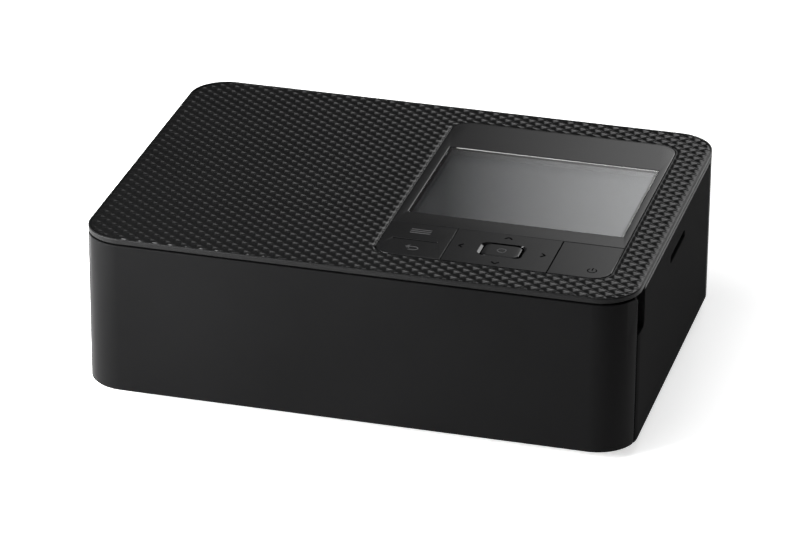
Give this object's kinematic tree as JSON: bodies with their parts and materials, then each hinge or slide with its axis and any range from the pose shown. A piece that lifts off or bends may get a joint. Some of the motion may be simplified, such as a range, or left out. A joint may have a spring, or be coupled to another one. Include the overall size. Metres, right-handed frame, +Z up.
{
  "type": "compact photo printer",
  "caption": "Flat black compact photo printer with a patterned deck, display and keys, a wrap-round front cover, a side door over the ink cassette and a geared print mechanism.",
  "frame": {"origin": "under the middle of the casing, on the surface that the feet stand on", "axes": "+X to the printer's right, +Y to its back, +Z up"},
  "size_m": [0.1822, 0.133, 0.0576],
  "materials": {
    "case_black": "fine satin moulding",
    "deck_black": "satin moulding with a raised diamond pattern",
    "cover_black": "smooth satin",
    "inner_black": "matt moulding",
    "panel_grey": "smooth satin",
    "key_grey": "smooth satin",
    "window_glass": "clear gloss, tinted",
    "display_grey": "gloss",
    "foot_rubber": "matt",
    "roller_rubber": "ground matt",
    "bright_steel": "bright",
    "sheet_steel": "zinc plated",
    "gear_nylon": "natural",
    "head_aluminium": "machined",
    "board_green": "solder mask",
    "flex_amber": "film",
    "ink_grey": "satin",
    "film_black": "gloss film",
    "lever_grey": "satin"
  },
  "bodies": {
    "casing": {"base_tray": "case_black", "rubber_feet": "foot_rubber", "case_screws": "bright_steel", "rear_shell": "case_black", "side_frame": "inner_black", "front_fascia": "inner_black", "top_cover": "deck_black", "cover_hinge_pins": "bright_steel", "door_hinge_pins": "bright_steel", "panel_base": "inner_black", "panel_plate": "panel_grey", "display_window": "window_glass", "display_module": "display_grey", "display_holder": "inner_black", "display_ribbon": "flex_amber", "key_board": "board_green", "tact_switches": "bright_steel", "mechanism_frame": "sheet_steel", "gear_cover": "inner_black", "feed_motor": "sheet_steel", "gear_axles": "bright_steel", "pinch_holder": "inner_black", "pickup_shaft": "bright_steel", "paper_guide": "inner_black", "main_board": "board_green", "card_board": "board_green", "card_socket": "bright_steel", "connector_board": "board_green", "usb_socket": "bright_steel", "dc_jack": "inner_black"},
    "front_cover": {"front_cover": "cover_black"},
    "side_door": {"side_door": "cover_black"},
    "menu_back_key": {"menu_back_key": "key_grey"},
    "direction_seat": {"direction_key_seat": "foot_rubber"},
    "direction_key": {"direction_key": "key_grey"},
    "ok_key": {"ok_key": "key_grey"},
    "power_key": {"power_key": "key_grey"},
    "feed_roller": {"feed_roller": "bright_steel", "feed_gear": "gear_nylon"},
    "platen_roller": {"platen_roller": "roller_rubber", "platen_gear": "gear_nylon"},
    "platen_idler": {"platen_idler": "gear_nylon"},
    "ribbon_idler": {"ribbon_idler": "gear_nylon"},
    "ribbon_drive": {"ribbon_drive": "gear_nylon"},
    "reduction_gear": {"reduction_gear": "gear_nylon"},
    "motor_pinion": {"motor_pinion": "gear_nylon"},
    "pinch_roller": {"pinch_roller": "bright_steel"},
    "print_head": {"head_carrier": "sheet_steel", "thermal_head": "head_aluminium"},
    "head_cam": {"head_cam_shaft": "gear_nylon"},
    "pickup_arm": {"pickup_arm": "inner_black"},
    "pickup_roller": {"pickup_roller": "roller_rubber"},
    "ink_cassette": {"ink_cassette_case": "ink_grey", "ribbon_film": "film_black"},
    "supply_spool": {"supply_spool": "film_black"},
    "take_up_spool": {"take_up_spool": "film_black"},
    "eject_lever": {"ink_eject_lever": "lever_grey"}
  },
  "joints": [
    {"name": "front_cover_hinge", "type": "hinge", "parent": "casing", "child": "front_cover", "pos_m": [0, -0.0618, 0.0056], "axis": [1, 0, 0], "range_deg": [0, 90]},
    {"name": "side_door_hinge", "type": "hinge", "parent": "casing", "child": "side_door", "pos_m": [0.0864, -0.002, 0.0056], "axis": [0, 1, 0], "range_deg": [0, 90]},
    {"name": "menu_back_rock", "type": "hinge", "parent": "casing", "child": "menu_back_key", "pos_m": [0.01375, -0.03975, 0.056], "axis": [1, 0, 0], "range_deg": [-1.8, 1.8], "stiffness_Nm_per_rad": 0.05},
    {"name": "direction_side_rock", "type": "hinge", "parent": "casing", "child": "direction_seat", "pos_m": [0.04235, -0.03975, 0.0552], "axis": [0, 1, 0], "range_deg": [-1.2, 1.2], "stiffness_Nm_per_rad": 0.08},
    {"name": "direction_front_rock", "type": "hinge", "parent": "direction_seat", "child": "direction_key", "pos_m": [0.04235, -0.03975, 0.0557], "axis": [1, 0, 0], "range_deg": [-1.3, 1.3], "stiffness_Nm_per_rad": 0.05},
    {"name": "ok_press", "type": "slide", "parent": "casing", "child": "ok_key", "axis": [0, 0, -1], "range_m": [0, 0.0005], "stiffness_N_per_m": 400},
    {"name": "power_press", "type": "slide", "parent": "casing", "child": "power_key", "axis": [0, 0, -1], "range_m": [0, 0.0005], "stiffness_N_per_m": 400},
    {"name": "feed_turn", "type": "hinge", "parent": "casing", "child": "feed_roller", "pos_m": [0, 0.0085, 0.013], "axis": [1, 0, 0], "continuous": true},
    {"name": "platen_turn", "type": "hinge", "parent": "casing", "child": "platen_roller", "pos_m": [0, 0.022, 0.012], "axis": [1, 0, 0], "continuous": true},
    {"name": "platen_idler_turn", "type": "hinge", "parent": "casing", "child": "platen_idler", "pos_m": [0, 0.01487, 0.01936], "axis": [1, 0, 0], "continuous": true},
    {"name": "ribbon_idler_turn", "type": "hinge", "parent": "casing", "child": "ribbon_idler", "pos_m": [0, 0.03674, 0.01755], "axis": [1, 0, 0], "continuous": true},
    {"name": "ribbon_drive_turn", "type": "hinge", "parent": "casing", "child": "ribbon_drive", "pos_m": [0, 0.038, 0.034], "axis": [1, 0, 0], "continuous": true},
    {"name": "reduction_turn", "type": "hinge", "parent": "casing", "child": "reduction_gear", "pos_m": [0, 0.0045, 0.01993], "axis": [1, 0, 0], "continuous": true},
    {"name": "motor_turn", "type": "hinge", "parent": "casing", "child": "motor_pinion", "pos_m": [0, -0.003, 0.03292], "axis": [1, 0, 0], "continuous": true},
    {"name": "pinch_turn", "type": "hinge", "parent": "casing", "child": "pinch_roller", "pos_m": [0, 0.0085, 0.01965], "axis": [1, 0, 0], "continuous": true},
    {"name": "head_lift", "type": "slide", "parent": "casing", "child": "print_head", "axis": [0, 0, 1], "range_m": [0, 0.0016]},
    {"name": "head_cam_turn", "type": "hinge", "parent": "casing", "child": "head_cam", "pos_m": [0, 0.0256, 0.04715], "axis": [1, 0, 0], "range_deg": [-181, 0]},
    {"name": "pickup_swing", "type": "hinge", "parent": "casing", "child": "pickup_arm", "pos_m": [0, -0.043, 0.031], "axis": [1, 0, 0], "range_deg": [0, 15]},
    {"name": "pickup_turn", "type": "hinge", "parent": "pickup_arm", "child": "pickup_roller", "pos_m": [0, -0.029, 0.0221], "axis": [1, 0, 0], "continuous": true},
    {"name": "ink_cassette_release", "type": "slide", "parent": "casing", "child": "ink_cassette", "axis": [1, 0, 0], "range_m": [0, 0.003]},
    {"name": "supply_turn", "type": "hinge", "parent": "ink_cassette", "child": "supply_spool", "pos_m": [0, -0.0113, 0.034], "axis": [1, 0, 0], "continuous": true},
    {"name": "take_up_turn", "type": "hinge", "parent": "ink_cassette", "child": "take_up_spool", "pos_m": [0, 0.038, 0.034], "axis": [1, 0, 0], "continuous": true},
    {"name": "eject_lever_turn", "type": "hinge", "parent": "casing", "child": "eject_lever", "pos_m": [0.077, -0.0279, 0.026], "axis": [0, 0, 1], "range_deg": [0, 12], "stiffness_Nm_per_rad": 0.02}
  ],
  "couplings": [
    {"joint": "platen_turn", "follows": "feed_turn", "ratio": 0.8},
    {"joint": "platen_idler_turn", "follows": "feed_turn", "ratio": -1.25},
    {"joint": "ribbon_idler_turn", "follows": "feed_turn", "ratio": -0.52632},
    {"joint": "ribbon_drive_turn", "follows": "feed_turn", "ratio": 0.71429},
    {"joint": "reduction_turn", "follows": "feed_turn", "ratio": -1.6667},
    {"joint": "motor_turn", "follows": "feed_turn", "ratio": 6.6667},
    {"joint": "pinch_turn", "follows": "feed_turn", "ratio": -1.6},
    {"joint": "pickup_turn", "follows": "feed_turn", "ratio": -0.8},
    {"joint": "take_up_turn", "follows": "feed_turn", "ratio": 0.71429},
    {"joint": "supply_turn", "follows": "feed_turn", "ratio": 0.54266},
    {"joint": "head_cam_turn", "follows": "head_lift", "rad_per_m": -1963.5}
  ]
}
